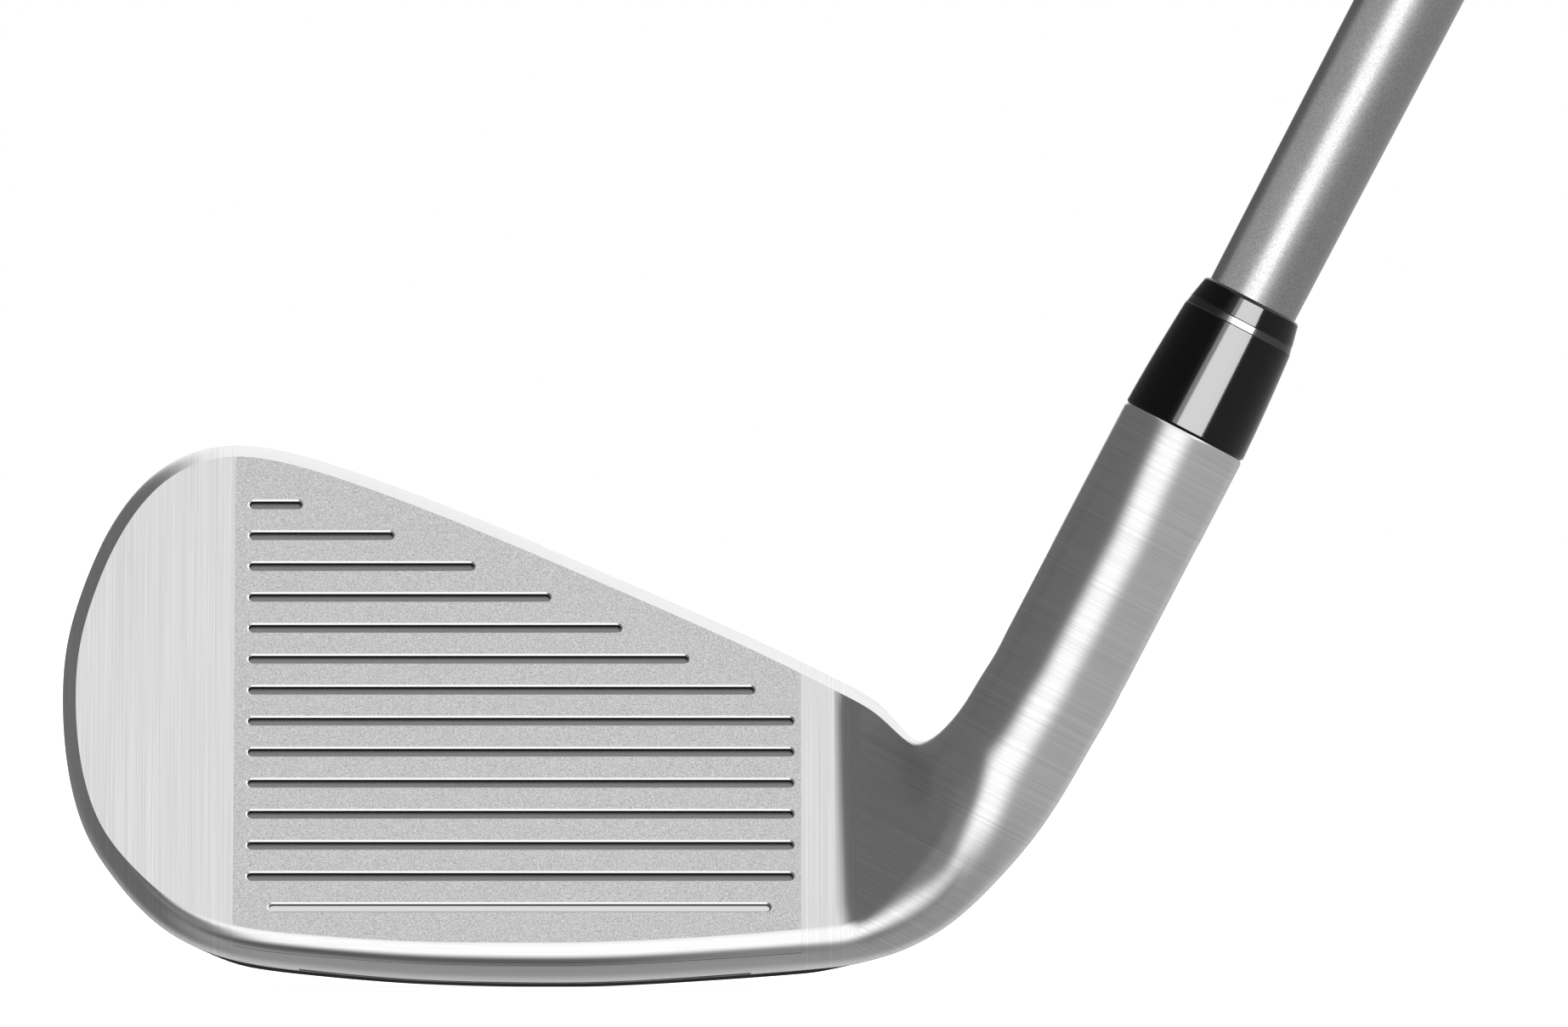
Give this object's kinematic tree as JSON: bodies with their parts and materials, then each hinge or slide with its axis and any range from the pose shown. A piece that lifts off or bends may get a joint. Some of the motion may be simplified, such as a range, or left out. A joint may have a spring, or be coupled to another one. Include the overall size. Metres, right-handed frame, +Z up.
{
  "type": "iron golf club",
  "caption": "Right-handed middle iron with a cavity-back steel head, parallel score lines, black ferrule, tapering silver shaft and slip-on rubber grip.",
  "frame": {"origin": "point of the sole that rests on the ground at address, about 12 mm behind the leading edge and under the middle of the face", "axes": "+X towards the heel and the grip, -Y towards the target (the face looks along -Y and up), +Z up"},
  "size_m": [0.5278, 0.0457, 0.8386],
  "materials": {
    "cast_steel_brushed": "satin, brushed",
    "steel_blasted": "matt, media blasted",
    "black_elastomer": "matt",
    "black_plated_bar": "satin black plating",
    "tungsten": "dull, sintered",
    "foam_tape": "matt",
    "black_polymer": "fine grain",
    "nickel_badge": "satin",
    "cured_epoxy": "glossy, amber",
    "brass_plug": "turned",
    "foam_plug": "matt",
    "gloss_black_ferrule": "gloss, polished with solvent",
    "ferrule_ring": "bright",
    "silver_shaft_paint": "silver metallic paint under clear coat",
    "paper_tape": "matt paper",
    "grip_rubber": "matt, textured",
    "grip_cap_rubber": "matt, moulded"
  },
  "bodies": {
    "root": {"head_body": "cast_steel_brushed", "face_plate": "steel_blasted", "sole_slot_insert": "black_elastomer", "rear_sole_bar": "black_plated_bar", "toe_weight": "tungsten", "face_damper": "black_elastomer", "cap_adhesive": "foam_tape", "back_cap": "black_polymer", "badge_tape": "foam_tape", "badge_plate": "nickel_badge", "hosel_epoxy": "cured_epoxy", "tip_weight": "brass_plug", "tip_plug": "foam_plug", "ferrule_collar": "gloss_black_ferrule", "ferrule_ring": "ferrule_ring", "ferrule_top": "gloss_black_ferrule", "shaft_tube": "silver_shaft_paint", "grip_tape": "paper_tape", "grip_sleeve": "grip_rubber", "grip_cap": "grip_cap_rubber"}
  },
  "joints": []
}
